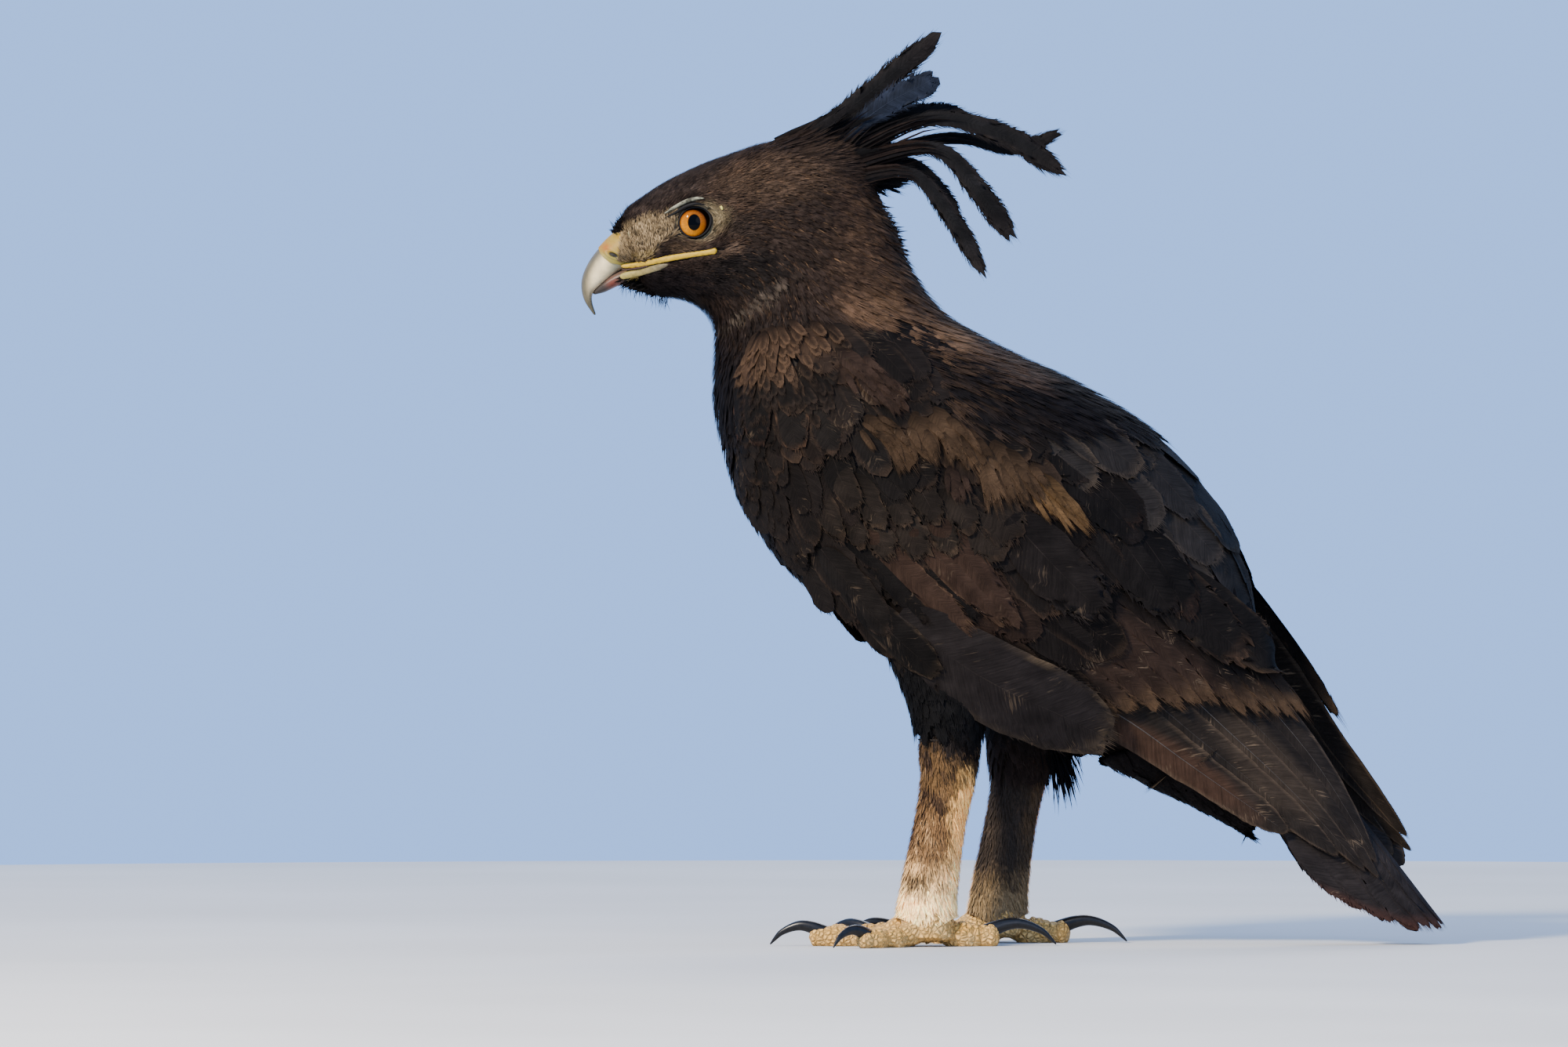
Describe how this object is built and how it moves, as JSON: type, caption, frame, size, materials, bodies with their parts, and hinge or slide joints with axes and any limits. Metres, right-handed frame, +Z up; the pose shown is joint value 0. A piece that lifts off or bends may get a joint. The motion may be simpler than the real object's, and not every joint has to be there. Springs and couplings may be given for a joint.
{
  "type": "long-crested eagle",
  "caption": "Standing life-size long-crested eagle with folded wings, a blown-back crest, feathered shanks and scaly clawed feet.",
  "frame": {"origin": "on the floor, under the middle of the bird's bounding box", "axes": "+Z up, -X the way the bird looks, -Y its left side"},
  "size_m": [0.397, 0.1368, 0.4161],
  "materials": {
    "plumage": "soft dark brown contour feathers",
    "wing_coverts": "brown wing feathers with pale worn fringes",
    "quills": "stiff blackish flight feathers with a slight gloss",
    "crest": "long loose blackish crest feathers",
    "shank_feathers": "short pale feathers mottled with brown",
    "toe_scales": "dull yellow scaly skin",
    "claw": "glossy black horn",
    "bill": "grey horn with a darker tip",
    "cere": "smooth pale yellow skin",
    "eye": "wet orange iris with a black pupil"
  },
  "bodies": {
    "root": {"head": "plumage", "neck": "plumage", "trunk": "plumage", "cere": "cere", "bill_upper": "bill", "bill_lower": "bill", "crest_feather_1": "crest", "crest_feather_2": "crest", "crest_feather_3": "crest", "crest_feather_4": "crest", "crest_feather_5": "crest", "crest_feather_6": "crest", "crest_feather_7": "crest", "crest_feather_8": "crest", "tail": "quills", "undertail_coverts": "plumage", "eye_left": "eye", "wing_left": "wing_coverts", "primaries_left": "quills", "thigh_left": "plumage", "shank_left": "shank_feathers", "foot_left": "toe_scales", "claw_middle_left": "claw", "claw_inner_left": "claw", "claw_outer_left": "claw", "claw_hind_left": "claw", "eye_right": "eye", "wing_right": "wing_coverts", "primaries_right": "quills", "thigh_right": "plumage", "shank_right": "shank_feathers", "foot_right": "toe_scales", "claw_middle_right": "claw", "claw_inner_right": "claw", "claw_outer_right": "claw", "claw_hind_right": "claw"}
  },
  "joints": []
}
